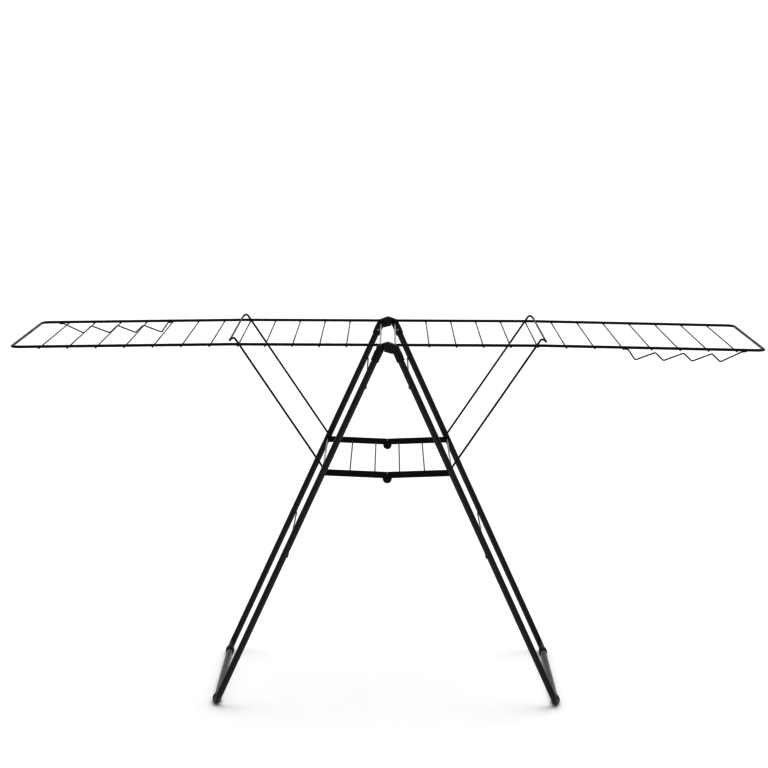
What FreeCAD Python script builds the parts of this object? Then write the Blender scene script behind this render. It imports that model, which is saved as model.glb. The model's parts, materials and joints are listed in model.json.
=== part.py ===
import FreeCAD, Part
import math
import os

os.makedirs("parts", exist_ok=True)

# A free-standing folding clothes airer. Two U-shaped tube legs meet at plastic hub caps and
# form an A-frame. A wing of wires hangs on a rod at each side of the hub and is propped by a
# bent strut, and a shelf that folds in its middle ties the two legs together.
# +X runs along the wings, +Y to the back, +Z up. The origin is on the floor under the hub.

SIZES = {
    # A-frame: the hub pivot, the lean of the legs and the tube
    "hub_z": 927.0,
    "leg_lean": 24.53,
    "leg_offset": 14.7,
    "leg_y": 289.5,
    "tube_radius": 8.0,
    "tube_wall": 1.0,
    "tube_start": 17.0,
    "foot_axis_z": 9.5,
    "leg_bend": 30.0,
    # cross wires of the legs, measured down the leg from the hub pivot
    "leg_wire_radius": 1.6,
    "upper_wire_drop": 118.0,
    "lower_wire_drop": 593.0,
    "weld_sink": 0.3,
    # feet
    "foot_radius": 10.8,
    "foot_length": 26.0,
    "foot_inset": 44.0,
    # hub caps
    "knuckle_radius": 10.6,
    "knuckle_gap": 0.4,
    "socket_radius": 10.25,
    "socket_end": 47.6,
    "shoulder_drop": 9.0,
    "web_depth": 6.0,
    "gusset_x": 9.5,
    "gusset_drop": 12.0,
    "gusset_end_x": 9.5,
    "gusset_end_drop": 17.2,
    "gusset_swing": 15.8,
    "lap_gap": 0.3,
    "hub_pin_radius": 3.0,
    "pin_head_radius": 4.4,
    "pin_head_height": 0.7,
    "pin_float": 0.05,
    "running_gap": 0.08,
    "rivet_radius": 2.0,
    "rivet_length": 4.75,
    "rivet_head_radius": 3.4,
    "rivet_head_height": 1.0,
    "rivet_drop": 32.0,
    # wing rods and shelf pivots
    "rod_x": 19.0,
    "rod_z": 920.8,
    "rod_radius": 2.25,
    "rod_socket": 6.0,
    "rod_boss_radius": 5.0,
    "shelf_pivot_drop": 362.4,
    "axle_seat": 4.0,
    # wings
    "rail_radius": 3.25,
    "rail_z": 929.0,
    "rail_y": 275.0,
    "eye_radius": 5.5,
    "eye_width": 5.0,
    "eye_joint": 2.6,
    "eye_bend": 4.0,
    "wing_end_x": 945.3,
    "corner_bend": 22.0,
    "sag_x": 391.0,
    "sag_slope": 0.0172,
    "sag_bend": 400.0,
    "wire_radius": 1.5,
    "wire_count": 12,
    "hook_wire": 5,
    "first_wire_x": 103.9,
    "inner_pitch": 68.1,
    "outer_pitch": 71.2,
    "wire_overhang": 4.5,
    # hanger wire under the outer part of one rail
    "hanger_first_wire": 8,
    "hanger_bottom": 31.0,
    "hanger_top": 11.0,
    "hanger_start": 3.5,
    "hanger_first_bend": 12.0,
    "hanger_low_point": 30.0,
    "hanger_high_point": 9.0,
    "hanger_last_bend": 13.0,
    "hanger_finish": 22.0,
    "hanger_bend": 5.0,
    # struts
    "strut_radius": 2.25,
    "strut_y": 268.75,
    "strut_foot_x": 163.4,
    "strut_foot_z": 617.5,
    "strut_foot_gap": 1.2,
    "strut_bend": 6.0,
    "hook_bend": 7.0,
    "cross_bar_bend": 5.5,
    "hook_top_x": 387.1,
    "hook_top_z": 948.3,
    "hook_bar_x": 397.7,
    "hook_bar_z": 937.5,
    # shelf
    "shelf_mid_z": 586.4,
    "bar_low_y": 257.0,
    "bar_high_y": 265.0,
    "bar_height": 13.0,
    "bar_mid_z": 595.65,
    "bar_end_z": 602.0,
    "bar_tail": 6.5,
    "bar_gap": 1.2,
    "disc_radius": 11.2,
    "disc_gap": 0.5,
    "shelf_pin_radius": 2.5,
    "shelf_pin_head": 4.2,
    "shelf_pin_head_height": 0.9,
    "shelf_wire_radius": 1.5,
    "shelf_wire_inner_x": 31.5,
    "shelf_wire_pitch": 63.5,
    "shelf_wire_sink": 3.0,
    "stub_gap": 0.8,
}

doc = FreeCAD.newDocument("folding_airer")
sheet = doc.addObject("Spreadsheet::Sheet", "sizes")
for row, (alias, value) in enumerate(SIZES.items(), start=1):
    cell = f"A{row}"
    sheet.set(cell, str(value))
    sheet.setAlias(cell, alias)
doc.recompute()


class Sheet:
    """The sheet's values, read back by their aliases."""

    def __getattr__(self, alias):
        return float(sheet.get(alias))


size = Sheet()
Vec = FreeCAD.Vector
SIDES = {"left": -1, "right": 1}
ENDS = {"front": -1, "back": 1}
nodes = []


# ---------------------------------------------------------------- helpers

def bind(obj, **expressions):
    """Tie properties of an object to the sheet; two underscores stand for a dot."""
    for name, expression in expressions.items():
        obj.setExpression(name.replace("__", "."), expression)
    return obj


def rod_along_y(name, x, z, low_y, high_y, radius):
    """A round bar that runs along Y; x, z, low_y and high_y are expressions or numbers."""
    rod = doc.addObject("Part::Cylinder", name)
    rod.Placement = FreeCAD.Placement(Vec(0, 0, 0), FreeCAD.Rotation(Vec(1, 0, 0), -90))
    bind(rod, Radius=radius, Height=f"({high_y}) - ({low_y})",
         Placement__Base__x=str(x), Placement__Base__y=str(low_y), Placement__Base__z=str(z))
    return rod


def box(name, x, y, z, length, width, height):
    """A box from its lowest corner; every argument is an expression or a number."""
    block = doc.addObject("Part::Box", name)
    bind(block, Length=str(length), Width=str(width), Height=str(height),
         Placement__Base__x=str(x), Placement__Base__y=str(y), Placement__Base__z=str(z))
    return block


def fuse(name, *shapes):
    """One solid from several objects that overlap."""
    joined = doc.addObject("Part::MultiFuse", name)
    joined.Shapes = list(shapes)
    joined.Refine = True
    return joined


def cut(name, base, *tools):
    """The base with every tool taken away."""
    result = base
    for index, tool in enumerate(tools):
        last = index == len(tools) - 1
        step = doc.addObject("Part::Cut", name if last else f"{name}_step{index}")
        step.Base = result
        step.Tool = tool
        step.Refine = last
        result = step
    return result


def group(name, parts):
    """Several separate solids that share one node."""
    compound = doc.addObject("Part::Compound", name)
    compound.Links = list(parts)
    return compound


def bent_wire(points, bends):
    """Straight runs joined by tangent arcs; bends holds one radius for each inner point."""
    edges = []
    start = points[0]
    for before, corner, after, radius in zip(points, points[1:], points[2:], bends):
        incoming = (corner - before).normalize()
        outgoing = (after - corner).normalize()
        turn = incoming.getAngle(outgoing)
        reach = radius * math.tan(turn / 2)
        arc_start = corner - incoming * reach
        arc_end = corner + outgoing * reach
        bisector = (outgoing - incoming).normalize()
        middle = corner + bisector * (radius / math.cos(turn / 2) - radius)
        edges.append(Part.LineSegment(start, arc_start).toShape())
        edges.append(Part.Arc(arc_start, middle, arc_end).toShape())
        start = arc_end
    edges.append(Part.LineSegment(start, points[-1]).toShape())
    return Part.Wire(edges)


def bent_rod(name, points, bends, radius):
    """A round section swept along bent_wire's path; radius is an expression."""
    spine = doc.addObject("Part::Feature", f"{name}_spine")
    spine.Shape = bent_wire(points, bends)
    section = doc.addObject("Part::Circle", f"{name}_section")
    heading = points[1] - points[0]
    section.Placement = FreeCAD.Placement(points[0], FreeCAD.Rotation(Vec(0, 0, 1), heading))
    bind(section, Radius=radius)
    sweep = doc.addObject("Part::Sweep", name)
    sweep.Sections = [section]
    sweep.Spine = (spine, [f"Edge{n + 1}" for n in range(len(spine.Shape.Edges))])
    sweep.Solid = True
    sweep.Frenet = False
    return sweep


def plate(name, corners, low_y, thickness):
    """A PartDesign plate: a closed outline of (x, z) corners, padded along +Y from low_y."""
    body = doc.addObject("PartDesign::Body", name)
    plane = next(f for f in body.Origin.OriginFeatures if f.Role == "XZ_Plane")
    sketch = body.newObject("Sketcher::SketchObject", f"{name}_outline")
    sketch.AttachmentSupport = [(plane, "")]
    sketch.MapMode = "FlatFace"
    ring = [Vec(x, z, 0) for x, z in corners]
    for start, end in zip(ring, ring[1:] + ring[:1]):
        sketch.addGeometry(Part.LineSegment(start, end), False)
    pad = body.newObject("PartDesign::Pad", f"{name}_pad")
    pad.Profile = sketch
    pad.Reversed = True
    bind(pad, Length=thickness)
    body.Tip = pad
    bind(body, Placement__Base__y=low_y)
    return body


def lap(low, middle, high, mine_low):
    """The spans along Y of a lap joint's two halves: this part's own and the other part's."""
    lower = (low, f"{middle} - sizes.lap_gap / 2")
    upper = (f"{middle} + sizes.lap_gap / 2", high)
    own = lower if mine_low else upper
    # what is cut away for the other part also takes the gap between the two
    other = (f"{middle} - sizes.lap_gap / 2", high) if mine_low else (low, f"{middle} + sizes.lap_gap / 2")
    return own, other


def finish(obj, label):
    """Name a finished sub-part; its label is also the name of its file."""
    obj.Label = label
    nodes.append(obj)
    return obj


def lean(obj, side):
    """Turn a piece built about the hub pivot to the lean of one leg."""
    obj.Placement = FreeCAD.Placement(Vec(0, 0, 0), FreeCAD.Rotation(Vec(0, -side, 0), size.leg_lean))
    return bind(obj, Placement__Rotation__Angle="sizes.leg_lean", Placement__Base__z="sizes.hub_z")


def on_leg(side, across, drop):
    """The x and z of a point given across the leg from the hub pivot and down the leg."""
    tilt = math.radians(size.leg_lean)
    x = across * math.cos(tilt) + drop * math.sin(tilt)
    z = size.hub_z + across * math.sin(tilt) - drop * math.cos(tilt)
    return side * x, z


def in_leg(side, x, z):
    """A point given outward and upward from the hub pivot, in the leg's own frame before it leans."""
    tilt = math.radians(size.leg_lean)
    return (side * (x * math.cos(tilt) + z * math.sin(tilt)),
            z * math.cos(tilt) - x * math.sin(tilt))


def wire_x(number):
    """How far a drying wire is from the hub, counted from 1; the pitch widens past the hook wire."""
    inner = min(number, size.hook_wire) - 1
    outer = max(number - size.hook_wire, 0)
    return size.first_wire_x + inner * size.inner_pitch + outer * size.outer_pitch


def sag(x):
    """How far the wing has dropped below the rail height at a distance from the hub."""
    return max(0.0, abs(x) - size.sag_x) * size.sag_slope


# ---------------------------------------------------------------- legs

LEG_LENGTH = ((size.hub_z + size.leg_offset * math.sin(math.radians(size.leg_lean))
               - size.foot_axis_z) / math.cos(math.radians(size.leg_lean)))


def leg_frame(side_name, side):
    """A U of round tube: down the front, along the floor and up the back, then leaned."""
    across = side * size.leg_offset
    points = [Vec(across, -size.leg_y, -size.tube_start), Vec(across, -size.leg_y, -LEG_LENGTH),
              Vec(across, size.leg_y, -LEG_LENGTH), Vec(across, size.leg_y, -size.tube_start)]
    bends = [size.leg_bend] * 2
    outer = bent_rod(f"tube_{side_name}", points, bends, "sizes.tube_radius")
    inner = bent_rod(f"bore_{side_name}", points, bends, "sizes.tube_radius - sizes.tube_wall")
    frame = cut(f"leg_frame_{side_name}", outer, inner)
    finish(lean(frame, side), f"leg_frame_{side_name}")


def leg_wires(side_name, side):
    """Two wires welded across the inner faces of the front and back tubes."""
    across = f"{side} * (sizes.leg_offset - sizes.tube_radius - sizes.leg_wire_radius + sizes.weld_sink)"
    wires = [rod_along_y(f"leg_wire_{place}_{side_name}", across, f"-sizes.{place}_wire_drop",
                         "-sizes.leg_y", "sizes.leg_y", "sizes.leg_wire_radius")
             for place in ("upper", "lower")]
    finish(lean(group(f"leg_wires_{side_name}", wires), side), f"leg_wires_{side_name}")


def feet(side_name, side):
    """Plastic clips round the floor tube, each with a flat underside to stand on."""
    foot_x, foot_z = on_leg(side, size.leg_offset, LEG_LENGTH)
    clips = []
    for end_name, end in ENDS.items():
        low_y = f"{end} * (sizes.leg_y - sizes.foot_inset) - sizes.foot_length / 2"
        high_y = f"{end} * (sizes.leg_y - sizes.foot_inset) + sizes.foot_length / 2"
        tag = f"{side_name}_{end_name}"
        shell = rod_along_y(f"foot_shell_{tag}", foot_x, foot_z, low_y, high_y, "sizes.foot_radius")
        hole = rod_along_y(f"foot_hole_{tag}", foot_x, foot_z, low_y, high_y, "sizes.tube_radius")
        floor = box(f"foot_floor_{tag}", foot_x - size.foot_radius, low_y, "-sizes.foot_radius",
                    "2 * sizes.foot_radius", "sizes.foot_length", "sizes.foot_radius")
        clips.append(cut(f"foot_{tag}", shell, hole, floor))
    finish(group(f"feet_{side_name}", clips), f"feet_{side_name}")


# ---------------------------------------------------------------- hub

def web_outline(side):
    """The cap's web: from the knuckle's centre and tangent out to the socket's shoulders."""
    reach = size.leg_offset + size.socket_radius
    shoulder = size.shoulder_drop
    distance = math.hypot(reach, shoulder)
    heading = math.atan2(shoulder, reach) - math.acos(size.knuckle_radius / distance)
    touch = (size.knuckle_radius * math.cos(heading), -size.knuckle_radius * math.sin(heading))
    inner = size.leg_offset - size.socket_radius
    foot = shoulder + size.web_depth
    corners = [(0.0, 0.0), touch, (reach, -shoulder), (reach, -foot), (inner, -foot)]
    return [(side * x, z) for x, z in corners]


def gusset_outline(side):
    """The fill under a knuckle: its slanted underside falls from past the hub to the leg's socket."""
    return [in_leg(side, -size.gusset_x, -size.knuckle_radius / 2),
            in_leg(side, -size.gusset_x, -size.gusset_drop),
            in_leg(side, size.gusset_end_x, -size.gusset_end_drop),
            (side * size.leg_offset, -size.shoulder_drop - size.web_depth)]


def hub_cap(side_name, side, end_name, end):
    """A plastic socket on one tube end, with a knuckle lapped on the other cap's knuckle."""
    tag = f"{side_name}_{end_name}"
    low = f"{end} * sizes.leg_y - sizes.socket_radius"
    high = f"{end} * sizes.leg_y + sizes.socket_radius"
    middle = f"{end} * sizes.leg_y"
    # the left knuckle is the inner one at both ends of the hub, the right one the outer
    inner_is_low = end > 0
    mine_low = (side < 0) == inner_is_low
    own, other = lap(low, middle, high, mine_low)
    knuckle = rod_along_y(f"knuckle_{tag}", 0, 0, *own, "sizes.knuckle_radius")
    web = plate(f"web_{tag}", web_outline(side), low, "2 * sizes.socket_radius")
    inner = (middle, high) if end < 0 else (low, middle)
    across, height = in_leg(side, size.rod_x, size.rod_z - size.hub_z)
    boss = rod_along_y(f"boss_{tag}", across, height, *inner, "sizes.rod_boss_radius")
    socket = doc.addObject("Part::Cylinder", f"socket_{tag}")
    bind(socket, Radius="sizes.socket_radius", Height="sizes.socket_end - sizes.shoulder_drop",
         Placement__Base__x=f"{side} * sizes.leg_offset", Placement__Base__y=middle,
         Placement__Base__z="-sizes.socket_end")
    bore = doc.addObject("Part::Cylinder", f"socket_bore_{tag}")
    bind(bore, Radius="sizes.tube_radius", Height="sizes.socket_end - sizes.tube_start + 1",
         Placement__Base__x=f"{side} * sizes.leg_offset", Placement__Base__y=middle,
         Placement__Base__z="-sizes.socket_end - 1")
    # the front right and back left caps are one moulding, with a gusset under the knuckle; the
    # other two have none, and are cut back further so that the gusset swings past them
    has_gusset = side != end
    swing_radius = "sizes.knuckle_radius + sizes.knuckle_gap" if has_gusset else "sizes.gusset_swing"
    swing = rod_along_y(f"swing_{tag}", 0, 0, *other, swing_radius)
    pin_gap = "" if side < 0 else " + sizes.running_gap"
    pin_hole = rod_along_y(f"pin_hole_{tag}", 0, 0, low, high, "sizes.hub_pin_radius" + pin_gap)
    rod_span = (f"{high} - sizes.rod_socket", high) if end < 0 else (low, f"{low} + sizes.rod_socket")
    rod_hole = rod_along_y(f"rod_hole_{tag}", across, height, *rod_span, "sizes.rod_radius")
    rivet_hole = rod_along_y(f"rivet_hole_{tag}", f"{side} * sizes.leg_offset", "-sizes.rivet_drop",
                             *inner, "sizes.rivet_radius")
    whole = fuse(f"cap_solid_{tag}", web, boss, socket)
    hollow = cut(f"cap_hollow_{tag}", whole, swing, bore)
    solid_parts = [hollow, knuckle]
    if has_gusset:
        gusset = plate(f"gusset_{tag}", gusset_outline(side), own[0], f"({own[1]}) - ({own[0]})")
        tube_end = doc.addObject("Part::Cylinder", f"tube_end_{tag}")
        bind(tube_end, Radius="sizes.tube_radius", Height="sizes.socket_end - sizes.tube_start + 1",
             Placement__Base__x=f"{side} * sizes.leg_offset", Placement__Base__y=middle,
             Placement__Base__z="-sizes.socket_end - 1")
        solid_parts.append(cut(f"gusset_cleared_{tag}", gusset, tube_end))
    joined = fuse(f"cap_joined_{tag}", *solid_parts)
    cap = cut(f"hub_cap_{tag}", joined, pin_hole, rod_hole, rivet_hole)
    finish(lean(cap, side), f"hub_cap_{tag}")


def hub_pins():
    """The two moulded pins that the legs fold about, each with a low head on its outer end."""
    pins = []
    for end_name, end in ENDS.items():
        low = f"{end} * sizes.leg_y - sizes.socket_radius - sizes.pin_float"
        high = f"{end} * sizes.leg_y + sizes.socket_radius + sizes.pin_float"
        shank = rod_along_y(f"hub_shank_{end_name}", 0, "sizes.hub_z", low, high, "sizes.hub_pin_radius")
        outer_low, outer_high = ((high, f"{high} + sizes.pin_head_height") if end > 0
                                 else (f"{low} - sizes.pin_head_height", low))
        head = rod_along_y(f"hub_head_{end_name}", 0, "sizes.hub_z", outer_low, outer_high,
                           "sizes.pin_head_radius")
        pins.append(fuse(f"hub_pin_{end_name}", shank, head))
    finish(group("hub_pins", pins), "hub_pins")


def cap_rivets(side_name, side):
    """A blind rivet through the inner wall of each cap and the tube in it."""
    rivets = []
    for end_name, end in ENDS.items():
        face = f"{end} * (sizes.leg_y - sizes.socket_radius)"
        across = f"{side} * sizes.leg_offset"
        drop = "-sizes.rivet_drop"
        tag = f"{side_name}_{end_name}"
        shank_span, head_span = (
            ((face, f"{face} + sizes.rivet_length"), (f"{face} - sizes.rivet_head_height", face))
            if end > 0 else
            ((f"{face} - sizes.rivet_length", face), (face, f"{face} + sizes.rivet_head_height")))
        shank = rod_along_y(f"rivet_shank_{tag}", across, drop, *shank_span, "sizes.rivet_radius")
        head = rod_along_y(f"rivet_head_{tag}", across, drop, *head_span, "sizes.rivet_head_radius")
        rivets.append(fuse(f"rivet_{tag}", shank, head))
    finish(lean(group(f"cap_rivets_{side_name}", rivets), side), f"cap_rivets_{side_name}")


def wing_rod(side_name, side):
    """The bare steel rod between the front and back caps that carries one wing."""
    end = "sizes.leg_y - sizes.socket_radius + sizes.rod_socket"
    rod = rod_along_y(f"wing_rod_{side_name}", f"{side} * sizes.rod_x", "sizes.rod_z",
                      f"-({end})", end, "sizes.rod_radius")
    finish(rod, f"wing_rod_{side_name}")


# ---------------------------------------------------------------- wings

def wing_frame(side_name, side):
    """The wing's U of thick wire, each end bent down over the hub rod to a flat eye."""
    plan = [(size.rod_x, size.rod_z + size.eye_joint), (size.rod_x, size.rail_z),
            (size.sag_x, size.rail_z), (size.wing_end_x, size.rail_z - sag(size.wing_end_x))]
    front = [Vec(side * x, -size.rail_y, z) for x, z in plan]
    back = [Vec(side * x, size.rail_y, z) for x, z in reversed(plan)]
    bends = [size.eye_bend, size.sag_bend, size.corner_bend]
    bends = bends + bends[::-1]
    rail = bent_rod(f"rail_{side_name}", front + back, bends, "sizes.rail_radius")
    eyes = []
    holes = []
    for end_name, end in ENDS.items():
        tag = f"{side_name}_{end_name}"
        low = f"{end} * sizes.rail_y - sizes.eye_width / 2"
        high = f"{end} * sizes.rail_y + sizes.eye_width / 2"
        place = (f"{side} * sizes.rod_x", "sizes.rod_z", low, high)
        eyes.append(rod_along_y(f"eye_{tag}", *place, "sizes.eye_radius"))
        holes.append(rod_along_y(f"eye_hole_{tag}", *place, "sizes.rod_radius + sizes.running_gap"))
    frame = cut(f"wing_frame_{side_name}", fuse(f"wing_solid_{side_name}", rail, *eyes), *holes)
    finish(frame, f"wing_frame_{side_name}")


def wing_wires(side_name, side):
    """The thin drying wires, welded under the two rails, with their ends just past them."""
    wires = []
    end = "(sizes.rail_y + sizes.wire_overhang)"
    for number in range(1, int(size.wire_count) + 1):
        x = wire_x(number)
        z = f"sizes.rail_z - sizes.rail_radius - sizes.wire_radius + sizes.weld_sink - {sag(x)}"
        wires.append(rod_along_y(f"wing_wire_{side_name}_{number}", side * x, z, f"-{end}", end,
                                 "sizes.wire_radius"))
    finish(group(f"wing_wires_{side_name}", wires), f"wing_wires_{side_name}")


def hanger_wire(side_name, side):
    """A zigzag wire under one rail that keeps coat hangers apart, welded on at its two ends."""
    y = -side * size.rail_y
    touch = size.rail_radius + size.wire_radius - size.weld_sink
    first, last = wire_x(size.hanger_first_wire), wire_x(size.wire_count)
    outline = [(first + size.hanger_start, touch), (first + size.hanger_first_bend, touch)]
    for number in range(int(size.hanger_first_wire), int(size.wire_count)):
        outline.append((wire_x(number) + size.hanger_low_point, size.hanger_bottom))
        outline.append((wire_x(number + 1) + size.hanger_high_point, size.hanger_top))
    outline[-1] = (last + size.hanger_last_bend, touch)
    outline.append((last + size.hanger_finish, touch))
    points = [Vec(side * x, y, size.rail_z - sag(x) - fall) for x, fall in outline]
    bends = [size.hanger_bend] * (len(points) - 2)
    wire = bent_rod(f"hanger_wire_{side_name}", points, bends, "sizes.wire_radius")
    finish(wire, f"hanger_wire_{side_name}")


# ---------------------------------------------------------------- struts

def strut(side_name, side):
    """A bent wire prop: foot pin, arm, hook over the fifth wire, top bar and back again."""
    pin_y = size.leg_y - size.tube_radius - size.strut_foot_gap
    outline = [(size.strut_foot_x, pin_y, size.strut_foot_z),
               (size.strut_foot_x, size.strut_y, size.strut_foot_z),
               (size.hook_top_x, size.strut_y, size.hook_top_z),
               (size.hook_bar_x, size.strut_y, size.hook_bar_z)]
    front = [Vec(side * x, -y, z) for x, y, z in outline]
    back = [Vec(side * x, y, z) for x, y, z in reversed(outline)]
    bends = [size.strut_bend, size.hook_bend, size.cross_bar_bend]
    bends = bends + bends[::-1]
    finish(bent_rod(f"strut_{side_name}", front + back, bends, "sizes.strut_radius"),
           f"strut_{side_name}")


# ---------------------------------------------------------------- shelf

PIVOT_X, PIVOT_Z = on_leg(1, size.leg_offset, size.shelf_pivot_drop)
BAR_SLOPE = (size.bar_end_z - size.bar_mid_z) / PIVOT_X


def shelf_bar(side_name, side, end_name, end):
    """A flat bar with an eye at the leg and half of a lapped hinge disc in the middle."""
    tag = f"{side_name}_{end_name}"
    low, high = (("sizes.bar_low_y", "sizes.bar_high_y") if end > 0
                 else ("-sizes.bar_high_y", "-sizes.bar_low_y"))
    middle = f"{end} * (sizes.bar_low_y + sizes.bar_high_y) / 2"
    # the left disc is the inner half of the lap, the right disc the outer half
    mine_low = (side < 0) == (end > 0)
    own, other = lap(low, middle, high, mine_low)
    half = size.bar_height / 2
    near, far = size.bar_gap, PIVOT_X + size.bar_tail
    corners = [(near, size.bar_mid_z - half), (far, size.bar_mid_z + BAR_SLOPE * far - half),
               (far, size.bar_mid_z + BAR_SLOPE * far + half), (near, size.bar_mid_z + half)]
    strip = plate(f"strip_{tag}", [(side * x, z) for x, z in corners], low,
                  "sizes.bar_high_y - sizes.bar_low_y")
    disc = rod_along_y(f"disc_{tag}", 0, "sizes.shelf_mid_z", *own, "sizes.disc_radius")
    swing = rod_along_y(f"disc_swing_{tag}", 0, "sizes.shelf_mid_z", *other,
                        "sizes.disc_radius + sizes.disc_gap")
    pin_gap = "" if side < 0 else " + sizes.running_gap"
    pin_hole = rod_along_y(f"disc_hole_{tag}", 0, "sizes.shelf_mid_z", low, high,
                           "sizes.shelf_pin_radius" + pin_gap)
    axle_gap = " + sizes.running_gap" if side < 0 else ""
    axle_hole = rod_along_y(f"axle_hole_{tag}", side * PIVOT_X, PIVOT_Z, low, high,
                            "sizes.rod_radius" + axle_gap)
    cleared = cut(f"strip_cleared_{tag}", strip, swing)
    joined = fuse(f"bar_joined_{tag}", cleared, disc)
    finish(cut(f"shelf_bar_{tag}", joined, pin_hole, axle_hole), f"shelf_bar_{tag}")


def shelf_wires(side_name, side):
    """Two wires across one half of the shelf, their ends sunk into its bars."""
    wires = []
    end = "(sizes.bar_low_y + sizes.shelf_wire_sink)"
    for index in range(2):
        x = size.shelf_wire_inner_x + index * size.shelf_wire_pitch
        z = size.bar_mid_z + BAR_SLOPE * x
        wires.append(rod_along_y(f"shelf_wire_{side_name}_{index + 1}", side * x, z,
                                 f"-{end}", end, "sizes.shelf_wire_radius"))
    finish(group(f"shelf_wires_{side_name}", wires), f"shelf_wires_{side_name}")


def shelf_pins():
    """The two rivets in the middle of the shelf, with a head at each end."""
    pins = []
    for end_name, end in ENDS.items():
        low, high = (("sizes.bar_low_y", "sizes.bar_high_y") if end > 0
                     else ("-sizes.bar_high_y", "-sizes.bar_low_y"))
        low_face = f"{low} - sizes.pin_float"
        high_face = f"{high} + sizes.pin_float"
        shank = rod_along_y(f"shelf_shank_{end_name}", 0, "sizes.shelf_mid_z", low_face, high_face,
                            "sizes.shelf_pin_radius")
        heads = [rod_along_y(f"shelf_head_low_{end_name}", 0, "sizes.shelf_mid_z",
                             f"{low_face} - sizes.shelf_pin_head_height", low_face, "sizes.shelf_pin_head"),
                 rod_along_y(f"shelf_head_high_{end_name}", 0, "sizes.shelf_mid_z",
                             high_face, f"{high_face} + sizes.shelf_pin_head_height",
                             "sizes.shelf_pin_head")]
        pins.append(fuse(f"shelf_pin_{end_name}", shank, *heads))
    finish(group("shelf_pins", pins), "shelf_pins")


def shelf_axles():
    """The bare rod through the left leg, the one in the right bars and the right leg's stubs."""
    reach = "(sizes.leg_y - sizes.tube_radius + sizes.axle_seat)"
    left = rod_along_y("shelf_axle_left", -PIVOT_X, PIVOT_Z, f"-{reach}", reach, "sizes.rod_radius")
    finish(left, "shelf_axle_left")
    span = "sizes.bar_high_y"
    right = rod_along_y("shelf_axle_right", PIVOT_X, PIVOT_Z, f"-{span}", span, "sizes.rod_radius")
    finish(right, "shelf_axle_right")
    inner = "(sizes.bar_high_y + sizes.stub_gap)"
    stubs = [rod_along_y("shelf_stub_front", PIVOT_X, PIVOT_Z, f"-{reach}", f"-{inner}", "sizes.rod_radius"),
             rod_along_y("shelf_stub_back", PIVOT_X, PIVOT_Z, inner, reach, "sizes.rod_radius")]
    finish(group("shelf_stubs_right", stubs), "shelf_stubs_right")


# ---------------------------------------------------------------- the whole airer

for side_name, side in SIDES.items():
    leg_frame(side_name, side)
    leg_wires(side_name, side)
    feet(side_name, side)
    cap_rivets(side_name, side)
    wing_rod(side_name, side)
    wing_frame(side_name, side)
    wing_wires(side_name, side)
    hanger_wire(side_name, side)
    strut(side_name, side)
    shelf_wires(side_name, side)
    for end_name, end in ENDS.items():
        hub_cap(side_name, side, end_name, end)
        shelf_bar(side_name, side, end_name, end)
hub_pins()
shelf_pins()
shelf_axles()
doc.recompute()

for obj in doc.Objects:
    if "Invalid" in obj.State or "Error" in obj.State:
        raise RuntimeError(f"{obj.Name} failed to build: {obj.State}")
for node in nodes:
    shape = node.Shape
    if shape.isNull() or not shape.isValid() or not shape.Solids:
        raise RuntimeError(f"{node.Label} has no valid solid")
    shape.exportStep(f"parts/{node.Label}.step")
    extent = shape.BoundBox
    print(f"{node.Label}: {len(shape.Solids)} solids, {shape.Volume / 1000:.1f} cm3, "
          f"x {extent.XMin:.1f} {extent.XMax:.1f} y {extent.YMin:.1f} {extent.YMax:.1f} "
          f"z {extent.ZMin:.1f} {extent.ZMax:.1f}")
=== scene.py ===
import json
import math

import bpy
import numpy as np
from mathutils import Matrix, Vector


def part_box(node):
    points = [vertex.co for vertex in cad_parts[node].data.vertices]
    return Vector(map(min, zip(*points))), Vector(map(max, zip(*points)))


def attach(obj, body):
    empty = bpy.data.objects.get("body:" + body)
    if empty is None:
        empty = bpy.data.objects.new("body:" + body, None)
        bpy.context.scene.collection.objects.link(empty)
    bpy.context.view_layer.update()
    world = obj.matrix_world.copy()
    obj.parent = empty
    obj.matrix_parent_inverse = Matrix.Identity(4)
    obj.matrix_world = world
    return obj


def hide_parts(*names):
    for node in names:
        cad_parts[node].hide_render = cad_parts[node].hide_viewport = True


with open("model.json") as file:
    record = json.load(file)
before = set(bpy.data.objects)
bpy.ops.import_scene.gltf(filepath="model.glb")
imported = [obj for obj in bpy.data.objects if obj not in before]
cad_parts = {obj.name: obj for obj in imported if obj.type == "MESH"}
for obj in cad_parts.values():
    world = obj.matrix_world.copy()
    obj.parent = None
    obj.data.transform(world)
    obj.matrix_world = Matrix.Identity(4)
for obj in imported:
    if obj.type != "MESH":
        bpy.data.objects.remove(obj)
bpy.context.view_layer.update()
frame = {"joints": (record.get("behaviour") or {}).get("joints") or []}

# A free-standing folding airer. The frame gives every joint and the boxes of the nodes; the
# gauges below are the drawn sizes of the tube, wire and plastic, in metres.
TUBE = 0.008
RAIL = 0.00325
STRUT = 0.00225
ROD = 0.00225
WIRE = 0.0015
CROSS_WIRE = 0.0016
SOCKET = 0.01025
KNUCKLE = 0.0106
HINGE_DISC = 0.0112
LAP_GAP = 0.0003
CLEARANCE = 0.00045
GUSSET_SWING = 0.0158
LEG_BEND = 0.030
RAIL_BEND = 0.022
EYE_BEND = 0.004
SAG_BEND = 0.4
STRUT_BENDS = [0.006, 0.007, 0.0055]
HANGER_BEND = 0.0055

# where the tube stops inside its cap, how far the struts' arms stand from the middle, the
# (x, z) top of a strut's hook, the height of the hook's bar, and the half height and the
# middle height of a shelf bar
LEG_TOP = 0.017
STRUT_ARM_Y = 0.26875
HOOK_TOP = (0.3871, 0.9483)
HOOK_BAR_Z = 0.9375
BAR_HALF = 0.0065
BAR_MID_Z = 0.59565

SIDES = {"left": -1, "right": 1}
ENDS = {"front": -1, "back": 1}
X, Y, Z = np.eye(3)

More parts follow.
